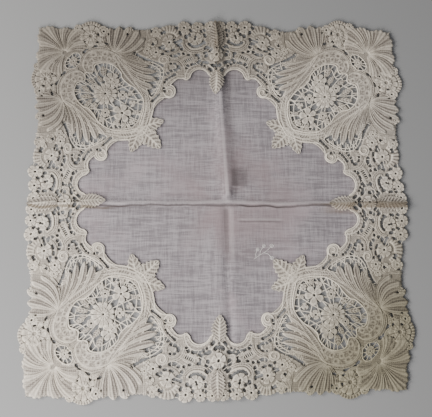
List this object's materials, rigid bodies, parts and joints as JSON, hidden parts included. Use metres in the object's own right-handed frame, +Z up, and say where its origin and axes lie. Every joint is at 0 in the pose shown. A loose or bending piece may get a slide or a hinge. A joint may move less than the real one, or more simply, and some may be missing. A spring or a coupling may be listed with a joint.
{
  "type": "lace handkerchief",
  "caption": "Square handkerchief laid out flat: a sheer linen centre with a stepped edge, set in a wide needle-lace border of palm leaves, flowers and scrolls, with open medallions at its corners.",
  "frame": {"origin": "the underside, below the middle of the whole outline", "axes": "+Z up out of the cloth, +X and +Y along its sides as it is seen from above"},
  "size_m": [0.3094, 0.314, 0.0044],
  "materials": {
    "linen": "sheer, uneven handwoven linen, matt",
    "lace": "ivory thread worked closely, matt"
  },
  "bodies": {
    "root": {"linen_centre": "linen", "lace_border": "lace"}
  },
  "joints": []
}
